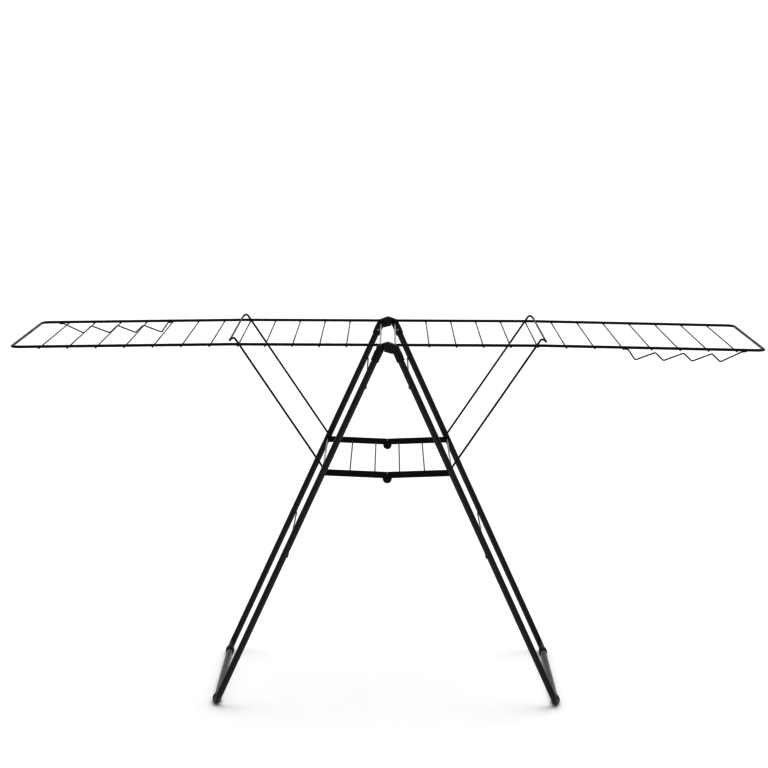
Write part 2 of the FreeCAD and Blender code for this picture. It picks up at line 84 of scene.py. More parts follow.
joints = {j["name"]: j for j in frame["joints"]}
hub = np.array(joints["leg_fold"]["pos_m"])
lean = math.radians(joints["leg_fold"]["range_deg"][1] / 2)
shelf_pin = np.array(joints["shelf_middle_fold"]["pos_m"])


# ------------------------------------------------------------------ mesh helpers

def low(node):
    """The lowest corner of a node's box."""
    return np.array(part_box(node)[0])


def high(node):
    """The highest corner of a node's box."""
    return np.array(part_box(node)[1])


def lapped(node, side, end):
    """Where a lapped joint lies along Y: its own half, the other half and the way its own faces."""
    near, far = low(node)[1], high(node)[1]
    faces = -1 if (side < 0) == (end > 0) else 1
    split = (near + far) / 2 + faces * LAP_GAP / 2
    if faces < 0:
        return (near, split), (split, far), faces
    return (split, far), (near, split), faces


def unit(v):
    """Vectors scaled to length one along their last axis."""
    return v / np.linalg.norm(v, axis=-1, keepdims=True)


def shell(rings, loop=False):
    """Vertices and faces of a skin over rings[n, m, 3], m points round each of n rings.

    Ring i is joined to ring i + 1 by quads, and its last point to its first. With loop, the
    last ring is joined to the first, as on a washer; without, each end is closed by a fan
    about the mean of its ring. The faces are turned round if the signed volume is negative.
    """
    count, around = rings.shape[:2]
    verts = rings.reshape(-1, 3)
    i = np.arange(count if loop else count - 1)[:, None] * around
    j = np.arange(around)
    k = (j + 1) % around
    after = (i + around) % (count * around)
    quads = np.stack([i + j, i + k, after + k, after + j], -1).reshape(-1, 4)
    tris = np.zeros((0, 3), int)
    if not loop:
        first = np.full(around, count * around)
        tris = np.vstack([np.stack([k, j, first], -1),
                          np.stack([j + (count - 1) * around, k + (count - 1) * around, first + 1], -1)])
        verts = np.vstack([verts, rings[0].mean(0), rings[-1].mean(0)])
    split = np.vstack([quads[:, [0, 1, 2]], quads[:, [0, 2, 3]], tris])
    a, b, c = (verts[split[:, n]] for n in range(3))
    if np.einsum("ij,ij->i", a, np.cross(b, c)).sum() < 0:
        quads, tris = quads[:, ::-1], tris[:, ::-1]
    return verts, [tuple(f) for f in quads.tolist() + tris.tolist()]


def prism(outline, low_y, high_y):
    """Vertices and faces of an outline of (x, z) points carried straight from low_y to high_y."""
    outline = np.asarray(outline, float)
    x, z = outline.T
    if (x * np.roll(z, -1) - z * np.roll(x, -1)).sum() < 0:
        outline = outline[::-1]
    count = len(outline)
    verts = np.vstack([np.column_stack([outline[:, 0], np.full(count, y), outline[:, 1]])
                       for y in (low_y, high_y)])
    j = np.arange(count)
    k = (j + 1) % count
    sides = np.stack([j, j + count, k + count, k], -1)
    faces = [tuple(f) for f in sides[:, ::-1].tolist()]
    return verts, faces + [tuple(range(count)), tuple(range(2 * count - 1, count - 1, -1))]


def piece(name, body, material, parts, nodes=(), soft_edge=0.0, sharp=35.0):
    """One object from a list of (vertices, faces), riding on a body in place of CAD nodes."""
    verts, faces = [], []
    start = 0
    for v, f in parts:
        verts.append(v)
        faces += [tuple(n + start for n in face) for face in f]
        start += len(v)
    mesh = bpy.data.meshes.new(name)
    mesh.from_pydata(np.vstack(verts).tolist(), [], faces)
    mesh.validate()
    mesh.shade_smooth()
    mesh.set_sharp_from_angle(angle=math.radians(sharp))
    mesh.materials.append(material)
    made = bpy.data.objects.new(name, mesh)
    bpy.context.scene.collection.objects.link(made)
    if soft_edge:
        bevel = made.modifiers.new("soft_edge", "BEVEL")
        bevel.width = soft_edge
        bevel.segments = 3
        bevel.limit_method = "ANGLE"
        bevel.angle_limit = math.radians(40)
        bevel.harden_normals = True
    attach(made, body)
    if nodes:
        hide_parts(*nodes)
    return made


def bent_path(points, bends, steps=8):
    """Points along straight runs joined by tangent arcs, with the heading at each of them.

    A corner that turns by t is rounded at radius r: its arc starts r tan(t/2) before the corner
    and each point on it is the arc's centre plus r times the start normal turned through t s.
    """
    points = np.asarray(points, float)
    place, heading = [points[0]], [unit(points[1] - points[0])]
    for before, corner, after, radius in zip(points, points[1:], points[2:], bends):
        incoming, outgoing = unit(corner - before), unit(after - corner)
        turn = math.acos(float(np.clip(incoming @ outgoing, -1, 1)))
        inward = unit(outgoing - incoming * (incoming @ outgoing))
        start = corner - incoming * radius * math.tan(turn / 2)
        centre = start + inward * radius
        angle = np.linspace(0, turn, steps + 1)[:, None]
        place.extend(centre + radius * (np.sin(angle) * incoming - np.cos(angle) * inward))
        heading.extend(np.cos(angle) * incoming + np.sin(angle) * inward)
    place.append(points[-1])
    heading.append(unit(points[-1] - points[-2]))
    return np.array(place), np.array(heading)


def carried(place, heading, reference, wide, tall=None, around=28):
    """Rings of an ellipse, wide across and tall along the reference, carried along a path."""
    tall = wide if tall is None else tall
    across = unit(np.cross(heading, reference))
    upward = np.cross(across, heading)
    turn = np.linspace(0, 2 * np.pi, around, endpoint=False)
    wide = np.broadcast_to(wide, len(place))[:, None, None]
    tall = np.broadcast_to(tall, len(place))[:, None, None]
    return (place[:, None] + across[:, None] * np.cos(turn)[None, :, None] * wide
            + upward[:, None] * np.sin(turn)[None, :, None] * tall)


def round_bar(points, bends, radius, reference, dome=0.35, around=28, steps=8):
    """A bar of round section along a bent path, with low domes on its ends.

    The dome is a quarter ellipse: at angle a its ring stands radius dome sin(a) past the end
    and has the radius r cos(a).
    """
    place, heading = bent_path(points, bends, steps)
    a = np.radians([0, 30, 55, 75])
    reach = (radius * dome * np.sin(a))[:, None]
    first = place[0] + heading[0] * (radius * dome - reach)
    last = place[-1] - heading[-1] * (radius * dome - reach)
    place = np.vstack([first[::-1], place[1:-1], last])
    heading = np.vstack([np.tile(heading[0], (4, 1)), heading[1:-1], np.tile(heading[-1], (4, 1))])
    radii = np.concatenate([radius * np.cos(a[::-1]), np.full(len(place) - 8, radius),
                            radius * np.cos(a)])
    return shell(carried(place, heading, reference, radii, around=around))


def straight_bar(start, end, radius, **options):
    """A straight round bar between two points."""
    start, end = np.asarray(start, float), np.asarray(end, float)
    reference = Z if abs(unit(end - start) @ Z) < 0.9 else X
    middle = (start + end) / 2
    return round_bar([start, middle, end], [], radius, reference, **options)


def turned(section, centre, axis, around=48):
    """A closed (radius, height) loop turned about an axis, as a washer or a sleeve is made."""
    axis = unit(np.asarray(axis, float))
    across = unit(np.cross(axis, X if abs(axis @ X) < 0.9 else Z))
    upward = np.cross(axis, across)
    angle = np.linspace(0, 2 * np.pi, around, endpoint=False)[:, None, None]
    radius, height = np.asarray(section, float).T
    rings = (centre + (across * np.cos(angle) + upward * np.sin(angle)) * radius[None, :, None]
             + axis * height[None, :, None])
    return shell(rings, loop=True)


def washer(inner, outer, low_h, high_h, edge):
    """The section loop of a washer whose two outer edges are quarter rounds of radius edge."""
    a = np.radians([0, 22.5, 45, 67.5, 90])
    upper = np.column_stack([outer - edge + edge * np.cos(a), high_h - edge + edge * np.sin(a)])
    lower = np.column_stack([outer - edge + edge * np.sin(a), low_h + edge - edge * np.cos(a)])
    return np.vstack([[inner, high_h], [inner, low_h], lower, upper])


def blob(centre, radii, across=12, down=7):
    """An ellipsoid: centre plus radii times (sin a cos b, sin a sin b, cos a)."""
    a = np.linspace(0.02, np.pi - 0.02, down)[:, None]
    b = np.linspace(0, 2 * np.pi, across, endpoint=False)[None, :]
    ball = np.stack([np.sin(a) * np.cos(b), np.sin(a) * np.sin(b), np.cos(a) + 0 * b], -1)
    return shell(np.asarray(centre) + ball * np.asarray(radii))


def arc(centre, radius, start, end, count=16):
    """(x, z) points on a circle, from one angle in degrees to another."""
    a = np.radians(np.linspace(start, end, count))
    return np.column_stack([centre[0] + radius * np.cos(a), centre[1] + radius * np.sin(a)])


# ------------------------------------------------------------------ materials

def new_group(name, inputs, outputs):
    """An empty shader group with named float or colour inputs and outputs."""
    group = bpy.data.node_groups.new(name, "ShaderNodeTree")
    for label, kind, value in inputs:
        socket = group.interface.new_socket(name=label, in_out="INPUT", socket_type=kind)
        socket.default_value = value
    for label, kind in outputs:
        group.interface.new_socket(name=label, in_out="OUTPUT", socket_type=kind)
    nodes = group.nodes
    return group, nodes.new("NodeGroupInput"), nodes.new("NodeGroupOutput")


def math_node(tree, operation, *values):
    """A Math node whose inputs are sockets or numbers; returns its output."""
    node = tree.nodes.new("ShaderNodeMath")
    node.operation = operation
    for index, value in enumerate(values):
        if isinstance(value, (int, float)):
            node.inputs[index].default_value = value
        else:
            tree.links.new(value, node.inputs[index])
    return node.outputs[0]


def noise_node(tree, scale, detail, stretch=(1.0, 1.0, 1.0)):
    """Noise on Object coordinates; scale is a number or a socket, stretch squeezes it."""
    coords = tree.nodes.new("ShaderNodeTexCoord")
    mapping = tree.nodes.new("ShaderNodeMapping")
    mapping.inputs["Scale"].default_value = stretch
    noise = tree.nodes.new("ShaderNodeTexNoise")
    noise.inputs["Detail"].default_value = detail
    tree.links.new(coords.outputs["Object"], mapping.inputs["Vector"])
    tree.links.new(mapping.outputs[0], noise.inputs["Vector"])
    if isinstance(scale, (int, float)):
        noise.inputs["Scale"].default_value = scale
    else:
        tree.links.new(scale, noise.inputs["Scale"])
    return noise.outputs["Fac"]


def grain_group():
    """Fine grain of a coat or moulding: a mottled colour, a broken gloss and a bump height."""
    group, given, result = new_group(
        "surface_grain",
        [("Dark", "NodeSocketColor", (0, 0, 0, 1)), ("Light", "NodeSocketColor", (1, 1, 1, 1)),
         ("Grain Scale", "NodeSocketFloat", 900.0), ("Cloud Scale", "NodeSocketFloat", 9.0),
         ("Gloss Low", "NodeSocketFloat", 0.3), ("Gloss High", "NodeSocketFloat", 0.4)],
        [("Color", "NodeSocketColor"), ("Roughness", "NodeSocketFloat"), ("Height", "NodeSocketFloat")])
    grain = noise_node(group, given.outputs["Grain Scale"], 3.0)
    cloud = noise_node(group, given.outputs["Cloud Scale"], 4.0)
    blend = math_node(group, "ADD", math_node(group, "MULTIPLY", grain, 0.45),
                      math_node(group, "MULTIPLY", cloud, 0.55))
    mix = group.nodes.new("ShaderNodeMix")
    mix.data_type = "RGBA"
    group.links.new(blend, mix.inputs["Factor"])
    group.links.new(given.outputs["Dark"], mix.inputs["A"])
    group.links.new(given.outputs["Light"], mix.inputs["B"])
    gloss = group.nodes.new("ShaderNodeMapRange")
    group.links.new(cloud, gloss.inputs["Value"])
    gloss.inputs["From Min"].default_value = 0.35
    gloss.inputs["From Max"].default_value = 0.65
    group.links.new(given.outputs["Gloss Low"], gloss.inputs["To Min"])
    group.links.new(given.outputs["Gloss High"], gloss.inputs["To Max"])
    group.links.new(mix.outputs["Result"], result.inputs["Color"])
    group.links.new(gloss.outputs["Result"], result.inputs["Roughness"])
    group.links.new(grain, result.inputs["Height"])
    return group


def scuff_group():
    """Fine scuffs and dust: a mask of short streaks that fade in and out over the surface."""
    group, given, result = new_group(
        "light_scuffs",
        [("Streak Scale", "NodeSocketFloat", 60.0), ("Amount", "NodeSocketFloat", 0.2)],
        [("Mask", "NodeSocketFloat")])
    streak = noise_node(group, given.outputs["Streak Scale"], 6.0, (1.0, 1.0, 9.0))
    patch = noise_node(group, 5.0, 2.0)
    sharp = math_node(group, "SUBTRACT", streak, 0.60)
    bright = math_node(group, "MULTIPLY", math_node(group, "MAXIMUM", sharp, 0.0), 7.0)
    where = math_node(group, "MULTIPLY", bright, math_node(group, "MAXIMUM",
                      math_node(group, "MULTIPLY", math_node(group, "SUBTRACT", patch, 0.42), 5.0), 0.0))
    mask = math_node(group, "MINIMUM", math_node(group, "MULTIPLY", where, given.outputs["Amount"]), 1.0)
    group.links.new(mask, result.inputs["Mask"])
    return group


GRAIN = grain_group()
SCUFFS = scuff_group()


def coated(name, dark, light, grain, cloud, gloss, bump, scuff, specular=0.5, scuff_colour=0.12):
    """A dielectric finish: grained colour, broken gloss, fine bump and a few light scuffs."""
    material = bpy.data.materials.new(name)
    material.use_nodes = True
    tree = material.node_tree
    shader = tree.nodes["Principled BSDF"]
    skin = tree.nodes.new("ShaderNodeGroup")
    skin.node_tree = GRAIN
    skin.inputs["Dark"].default_value = (*dark, 1)
    skin.inputs["Light"].default_value = (*light, 1)
    skin.inputs["Grain Scale"].default_value = grain
    skin.inputs["Cloud Scale"].default_value = cloud
    skin.inputs["Gloss Low"].default_value, skin.inputs["Gloss High"].default_value = gloss
    marks = tree.nodes.new("ShaderNodeGroup")
    marks.node_tree = SCUFFS
    marks.inputs["Amount"].default_value = scuff
    mix = tree.nodes.new("ShaderNodeMix")
    mix.data_type = "RGBA"
    mix.inputs["B"].default_value = (scuff_colour, scuff_colour, scuff_colour, 1)
    height = tree.nodes.new("ShaderNodeBump")
    height.inputs["Strength"].default_value = 0.5
    height.inputs["Distance"].default_value = bump
    tree.links.new(marks.outputs["Mask"], mix.inputs["Factor"])
    tree.links.new(skin.outputs["Color"], mix.inputs["A"])
    tree.links.new(mix.outputs["Result"], shader.inputs["Base Color"])
    tree.links.new(skin.outputs["Roughness"], shader.inputs["Roughness"])
    tree.links.new(skin.outputs["Height"], height.inputs["Height"])
    tree.links.new(height.outputs["Normal"], shader.inputs["Normal"])
    shader.inputs["Specular IOR Level"].default_value = specular
    return material


def drawn_steel(name, tint, roughness):
    """Bare drawn steel: long faint draw lines along Y in its gloss and bump."""
    material = bpy.data.materials.new(name)
    material.use_nodes = True
    tree = material.node_tree
    shader = tree.nodes["Principled BSDF"]
    lines = noise_node(tree, 1.0, 4.0, (1600.0, 18.0, 1600.0))
    cloud = noise_node(tree, 22.0, 3.0)
    ramp = tree.nodes.new("ShaderNodeMix")
    ramp.data_type = "RGBA"
    ramp.inputs["A"].default_value = (*[0.78 * c for c in tint], 1)
    ramp.inputs["B"].default_value = (*tint, 1)
    tree.links.new(cloud, ramp.inputs["Factor"])
    tree.links.new(ramp.outputs["Result"], shader.inputs["Base Color"])
    gloss = tree.nodes.new("ShaderNodeMapRange")
    gloss.inputs["To Min"].default_value = roughness - 0.08
    gloss.inputs["To Max"].default_value = roughness + 0.10
    tree.links.new(lines, gloss.inputs["Value"])
    tree.links.new(gloss.outputs["Result"], shader.inputs["Roughness"])
    height = tree.nodes.new("ShaderNodeBump")
    height.inputs["Strength"].default_value = 0.25
    height.inputs["Distance"].default_value = 0.00005
    tree.links.new(lines, height.inputs["Height"])
    tree.links.new(height.outputs["Normal"], shader.inputs["Normal"])
    shader.inputs["Metallic"].default_value = 1.0
    return material


TUBE_COAT = coated("tube_powder_coat", (0.046, 0.046, 0.047), (0.066, 0.066, 0.0675),
                   750.0, 7.0, (0.28, 0.36), 0.00004, 0.22, 0.40)
WIRE_COAT = coated("wire_powder_coat", (0.012, 0.012, 0.012), (0.020, 0.020, 0.0205),
                   1100.0, 14.0, (0.32, 0.42), 0.00003, 0.10, 0.30)
CAP_PLASTIC = coated("moulded_hub_plastic", (0.040, 0.040, 0.041), (0.058, 0.058, 0.059),
                     2600.0, 30.0, (0.42, 0.52), 0.00005, 0.15, 0.25)
BAR_PLASTIC = coated("moulded_bar_plastic", (0.026, 0.026, 0.027), (0.040, 0.040, 0.041),
                     2200.0, 20.0, (0.48, 0.58), 0.00005, 0.12, 0.10)
FOOT_PLASTIC = coated("soft_foot_plastic", (0.024, 0.024, 0.024), (0.042, 0.042, 0.042),
                      1800.0, 40.0, (0.50, 0.62), 0.00008, 0.5, 0.22, 0.18)
ROD_STEEL = drawn_steel("drawn_rod_steel", (0.42, 0.42, 0.43), 0.30)
PIN_STEEL = drawn_steel("zinc_pin_steel", (0.44, 0.44, 0.46), 0.36)


# ------------------------------------------------------------------ places on a leg

def leg_axes(side):
    """Unit vectors down one leg and outward across it."""
    down = np.array([side * math.sin(lean), 0, -math.cos(lean)])
    outward = np.array([side * math.cos(lean), 0, math.sin(lean)])
    return down, outward


LEG_Y = high("leg_frame_right")[1] - TUBE
FOOT_Z = low("leg_frame_right")[2] + TUBE
FOOT_X = high("leg_frame_right")[0] - TUBE
# the leg's axis stands this far out from the hub pivot, and is this long down to the floor tube
LEG_OUT = float((np.array([FOOT_X, 0, FOOT_Z]) - hub * [0, 0, 1]) @ leg_axes(1)[1])
LEG_LONG = float((np.array([FOOT_X, 0, FOOT_Z]) - hub * [0, 0, 1]) @ leg_axes(1)[0])


def on_leg(side, across, drop, y=0.0):
    """A point given outward across a leg from the hub pivot, down the leg and along Y."""
    down, outward = leg_axes(side)
    return hub * [0, 0, 1] + outward * across + down * drop + Y * y


# ------------------------------------------------------------------ legs and feet

def make_leg(name, side):
    """The U of tube: down the front, along the floor and up the back, with bent corners."""
    body = f"leg_{name}"
    corners = [on_leg(side, LEG_OUT, drop, y) for drop, y in
               ((LEG_TOP, -LEG_Y), (LEG_LONG, -LEG_Y), (LEG_LONG, LEG_Y), (LEG_TOP, LEG_Y))]
    tube = round_bar(corners, [LEG_BEND] * 2, TUBE, leg_axes(side)[1], around=48, steps=16)
    piece(f"leg_tube_{name}", body, TUBE_COAT, [tube], [f"leg_frame_{name}"])

    lower, upper = low(f"leg_wires_{name}"), high(f"leg_wires_{name}")
    across = LEG_OUT - TUBE - CROSS_WIRE + CLEARANCE
    drops = [(hub[2] - z + across * math.sin(lean)) / math.cos(lean)
             for z in (upper[2] - CROSS_WIRE, lower[2] + CROSS_WIRE)]
    bars, welds = [], []
    for drop in drops:
        ends = [on_leg(side, across, drop, y) for y in (-LEG_Y, LEG_Y)]
        bars.append(straight_bar(*ends, CROSS_WIRE, around=20))
        for y in (-LEG_Y, LEG_Y):
            seat = on_leg(side, LEG_OUT - TUBE + 0.0002, drop, y)
            welds.append(blob(seat, (0.0028, 0.0042, 0.0030)))
    piece(f"leg_cross_wires_{name}", body, WIRE_COAT, bars, [f"leg_wires_{name}"])
    piece(f"leg_welds_{name}", body, TUBE_COAT, welds)


def make_feet(name, side):
    """Foot clips: a ring of plastic with rounded rims and two grooves, flat where it stands.

    The section is turned about the floor tube, and every point lower than the floor is lifted
    to it, z = max(z, 0), which makes the flat tread.
    """
    half = 0.013
    outer = FOOT_Z + 0.0013
    middle = high(f"feet_{name}")[1] - half
    clips = []
    for y in (-middle, middle):
        rim = washer(TUBE, outer, -half, half, 0.0018)
        grooves = np.array([[outer, 0.0062], [outer - 0.0006, 0.0054], [outer, 0.0046],
                            [outer, -0.0046], [outer - 0.0006, -0.0054], [outer, -0.0062]])
        # washer() lists its inner edge, its lower round and its upper round, in that order
        section = np.vstack([rim[:7], grooves[::-1], rim[7:]])
        verts, faces = turned(section, np.array([side * FOOT_X, y, FOOT_Z]), Y, around=64)
        verts[:, 2] = np.maximum(verts[:, 2], 0.0)
        clips.append((verts, faces))
    piece(f"foot_clips_{name}", f"leg_{name}", FOOT_PLASTIC, clips,
          [f"feet_{name}"], sharp=50)


# ------------------------------------------------------------------ hub

def lean_out(side, across, height):
    """(x, z) points from a leg's own frame, across it and up it, to where the leaned leg is."""
    return np.column_stack([side * (across * math.cos(lean) - height * math.sin(lean)),
                            hub[2] + across * math.sin(lean) + height * math.cos(lean)])


def cap_outline(side, whole, gusset):
    """The cap's web seen from the front: from the knuckle out to the socket's shoulders.

    Whole is the half that carries the knuckle. With a gusset, its underside is a slant that
    falls from past the hub to the socket. The other half has a bite for the other cap's
    knuckle, and a wide one where that cap has a gusset.
    """
    reach, inner = LEG_OUT + SOCKET - 0.0004, LEG_OUT - SOCKET + 0.0004
    shoulder, foot = 0.0092, 0.0155
    away = math.degrees(math.atan2(-shoulder, reach))
    touch = away + math.degrees(math.acos(KNUCKLE / math.hypot(reach, shoulder)))
    if whole:
        radius, last = KNUCKLE, 186 if gusset else 306
    elif gusset:
        radius, last = KNUCKLE + CLEARANCE, -58
    else:
        radius, last = GUSSET_SWING, -math.degrees(math.acos(inner / GUSSET_SWING))
    # the straight top edge meets the circle where its distance from the hub is the radius
    first = touch - math.degrees(math.acos(KNUCKLE / radius))
    outline = [lean_out(side, *arc((0, 0), radius, first, last, 34).T)]
    if whole and gusset:
        # the slant's two ends, out past the hub and in towards the socket, each (across, down)
        slant = np.array([[-0.0093, 0.0119], [0.0128, 0.0180]])
        outline.append(slant * [side, -1] + [0, hub[2]])
    outline.append(lean_out(side, *np.array([[inner, -foot], [reach, -foot], [reach, -shoulder]]).T))
    return np.vstack(outline)


def make_cap(name, side, end_name, end):
    """A hub cap: a lapped knuckle, a web with the rod boss in it, and a ribbed tube socket."""
    node = f"hub_cap_{name}_{end_name}"
    face_low, face_high = low(node)[1], high(node)[1]
    middle = (face_low + face_high) / 2
    own, other, faces = lapped(node, side, end)
    # the front right and the back left caps are one moulding, the other two another
    gusset = side != end
    web = [prism(cap_outline(side, True, gusset), *own), prism(cap_outline(side, False, gusset), *other)]
    rod_x, _, rod_z = joints[f"wing_{name}_fold"]["pos_m"]
    seat = np.array([rod_x, middle - end * (face_high - face_low) / 2, rod_z])
    web.append(turned(washer(ROD, 0.0050, -0.004, 0.0002, 0.0008), seat, Y * -end))
    piece(f"cap_web_{name}_{end_name}", f"leg_{name}", CAP_PLASTIC, web,
          [node], soft_edge=0.0009, sharp=40)

    end_drop = 0.0476
    start = 0.0088 if gusset else 0.0150
    down = leg_axes(side)[0]
    a = np.radians([0, 30, 60, 90])
    lip = np.column_stack([SOCKET - 0.001 + 0.001 * np.cos(a), end_drop - 0.001 + 0.001 * np.sin(a)])
    crown = np.column_stack([SOCKET - 0.0032 + 0.0030 * np.sin(a), start + 0.003 - 0.003 * np.cos(a)])
    ring = [[SOCKET - 0.0003, start + 0.006], [SOCKET - 0.0003, end_drop - 0.0052],
            [SOCKET, end_drop - 0.0044]]
    section = np.vstack([[[TUBE * 0.9, end_drop], [TUBE * 0.9, start]], crown, ring, lip])
    parts = [turned(section, on_leg(side, LEG_OUT, 0, middle), down)]
    # slim ribs run down the socket, a third of a turn apart on its outer half
    for turn in np.radians([25, 90, 155]):
        outward = leg_axes(side)[1] * math.sin(turn) + Y * math.cos(turn)
        foot = on_leg(side, LEG_OUT, 0, middle) + outward * (SOCKET - 0.0006)
        parts.append(straight_bar(foot + down * (start + 0.008), foot + down * (end_drop - 0.007),
                                  0.0009, around=12))
    piece(f"cap_socket_{name}_{end_name}", f"leg_{name}", CAP_PLASTIC, parts)

    # a low raised rim on the knuckle's free face, round the pin
    face = own[0] if faces < 0 else own[1]
    raised = np.array([[0.0066, -0.0004], [0.0096, -0.0004], [0.0093, 0.0003], [0.0070, 0.0003]])
    centre = hub * [0, 0, 1] + Y * face
    piece(f"cap_face_rim_{name}_{end_name}", f"leg_{name}", CAP_PLASTIC,
          [turned(raised, centre, Y * faces)], sharp=30)


def make_hub_pins():
    """Moulded pins through the knuckles, each with a low dished head on its outer end."""
    parts = []
    shank, head, tall = 0.003, 0.0044, 0.0007
    outer = high("hub_pins")[1]
    inner = low("hub_cap_right_back")[1]
    section = [[0.0003, 0.0002], [0.0003, -0.0004], [head, -0.0004], [head, tall * 0.5],
               [head - 0.0005, tall], [0.0026, tall], [0.0021, 0.0002]]
    for end in (-1, 1):
        centre = hub * [0, 0, 1]
        parts.append(straight_bar(centre + Y * end * (inner + 0.0001), centre + Y * end * (outer - tall),
                                  shank))
        parts.append(turned(section, centre + Y * end * (outer - tall), Y * end))
    piece("hub_pin_set", "leg_left", CAP_PLASTIC, parts, ["hub_pins"])


def make_rivets(name, side):
    """The domed heads of the rivets that hold each cap on its tube, on the caps' inner faces."""
    parts = []
    node = f"cap_rivets_{name}"
    centre_z = (low(node)[2] + high(node)[2]) / 2
    drop = (hub[2] + LEG_OUT * math.sin(lean) - centre_z) / math.cos(lean)
    head, tall = 0.0034, 0.0010
    inner = LEG_Y - SOCKET
    a = np.radians([0, 20, 40, 60, 78])
    dome = np.column_stack([head * np.cos(a), tall * np.sin(a)])
    section = np.vstack([[[0.0003, -0.001], [head, -0.001]], dome, [[0.0003, tall * 1.01]]])
    for end in (-1, 1):
        parts.append(turned(section, on_leg(side, LEG_OUT, drop, end * inner), Y * -end))
    piece(f"cap_rivet_set_{name}", f"leg_{name}", PIN_STEEL, parts, [node])


def make_rod(name, side):
    """The bare rod that carries one wing."""
    node = f"wing_rod_{name}"
    x, z = joints[f"wing_{name}_fold"]["pos_m"][0], joints[f"wing_{name}_fold"]["pos_m"][2]
    bar = straight_bar([x, low(node)[1], z], [x, high(node)[1], z], ROD, around=32)
    piece(f"bare_wing_rod_{name}", f"leg_{name}", ROD_STEEL, [bar], [node])


# ------------------------------------------------------------------ wings

ROD_Z = joints["wing_right_fold"]["pos_m"][2]
RAIL_Y = high("wing_frame_right")[1] - RAIL
WING_END = high("wing_frame_right")[0] - RAIL
SAG_START = 0.391
RAIL_Z = high("wing_frame_right")[2] - RAIL
WIRES = 12
HOOK_WIRE = 5
INNER_PITCH, OUTER_PITCH = 0.0681, 0.0712
WIRE_FIRST = low("wing_wires_right")[0] + WIRE
WIRE_LAST = high("wing_wires_right")[0] - WIRE
WIRE_DROP = RAIL + WIRE - 0.0003
SAG = (RAIL_Z - WIRE_DROP - (low("wing_wires_right")[2] + WIRE)) / (WIRE_LAST - SAG_START)


def wire_x(number):
    """How far a drying wire is from the hub, counted from 1; the pitch widens past the hook wire."""
    inner, outer = min(number, HOOK_WIRE) - 1, max(number - HOOK_WIRE, 0)
    return WIRE_FIRST + inner * INNER_PITCH + outer * OUTER_PITCH


def sag(x):
    """How far the wing hangs below its root at a distance out from the hub."""
    return max(0.0, x - SAG_START) * SAG


def make_wing(name, side):
    """The wing's rail with its eyes, its drying wires and the welds between them."""
    body = f"wing_{name}"
    root = abs(joints[f"wing_{name}_fold"]["pos_m"][0])
    plan = [(root, ROD_Z + 0.0026), (root, RAIL_Z), (SAG_START, RAIL_Z), (WING_END, RAIL_Z - sag(WING_END))]
    front = [np.array([side * x, -RAIL_Y, z]) for x, z in plan]
    back = [p * [1, -1, 1] for p in reversed(front)]
    bends = [EYE_BEND, SAG_BEND, RAIL_BEND, RAIL_BEND, SAG_BEND, EYE_BEND]
    # this reference is never in line with the eyes, the rails or the end bar
    rail = round_bar(front + back, bends, RAIL, unit(np.array([-0.35 * side, 0.0, 1.0])), around=32, steps=12)
    eyes = [turned(washer(ROD + 0.0001, 0.0055, -0.0025, 0.0025, 0.0009),
                   np.array([side * root, y, ROD_Z]), Y) for y in (-RAIL_Y, RAIL_Y)]
    piece(f"wing_rail_{name}", body, WIRE_COAT, [rail] + eyes, [f"wing_frame_{name}"])

    reach = high(f"wing_wires_{name}")[1]
    bars, welds = [], []
    for number in range(1, WIRES + 1):
        x = wire_x(number)
        z = RAIL_Z - sag(x) - WIRE_DROP
        bars.append(straight_bar([side * x, -reach, z], [side * x, reach, z], WIRE, dome=0.6, around=18))
        for y in (-RAIL_Y, RAIL_Y):
            welds.append(blob([side * x, y, z + WIRE * 0.7], (0.0026, 0.0030, 0.0013)))
    piece(f"drying_wires_{name}", body, WIRE_COAT, bars, [f"wing_wires_{name}"])
    piece(f"wire_welds_{name}", body, WIRE_COAT, welds)


def make_hanger(name, side):
    """The zigzag wire under one rail: a slow rise out along the wing and a steep drop back."""
    y = -side * RAIL_Y
    first, last = wire_x(8), wire_x(WIRES)
    outline = [(first + 0.0035, WIRE_DROP), (first + 0.012, WIRE_DROP)]
    for number in range(8, WIRES):
        outline += [(wire_x(number) + 0.030, 0.031), (wire_x(number + 1) + 0.009, 0.011)]
    outline[-1] = (last + 0.013, WIRE_DROP)
    outline.append((last + 0.022, WIRE_DROP))
    points = [np.array([side * x, y, RAIL_Z - sag(x) - fall]) for x, fall in outline]
    bends = [HANGER_BEND] * (len(points) - 2)
    wire = round_bar(points, bends, WIRE, Y, dome=0.6, around=18)
    welds = [blob(points[n] + [0, 0, WIRE * 0.6], (0.0042, 0.0026, 0.0014)) for n in (0, -1)]
    piece(f"hanger_zigzag_{name}", f"wing_{name}", WIRE_COAT, [wire], [f"hanger_wire_{name}"])
    piece(f"hanger_welds_{name}", f"wing_{name}", WIRE_COAT, welds)


def make_strut(name, side):
    """The bent wire prop: pins in the leg, two arms, two hooks and the bar that joins them."""
    node = f"strut_{name}"
    pin_y = high(node)[1]
    far = high(node)[0] if side > 0 else -low(node)[0]
    near = low(node)[0] if side > 0 else -high(node)[0]
    outline = [(near + STRUT + 0.0004, pin_y, low(node)[2] + STRUT + 0.0004),
               (near + STRUT + 0.0004, STRUT_ARM_Y, low(node)[2] + STRUT + 0.0004),
               (HOOK_TOP[0], STRUT_ARM_Y, HOOK_TOP[1]),
               (far - STRUT - 0.0004, STRUT_ARM_Y, HOOK_BAR_Z)]
    front = [np.array([side * x, -y, z]) for x, y, z in outline]
    back = [p * [1, -1, 1] for p in reversed(front)]
    bar = round_bar(front + back, STRUT_BENDS + STRUT_BENDS[::-1], STRUT, Z, dome=0.5, around=24, steps=10)
    piece(f"prop_{name}", f"strut_{name}", WIRE_COAT, [bar], [node])


# ------------------------------------------------------------------ shelf

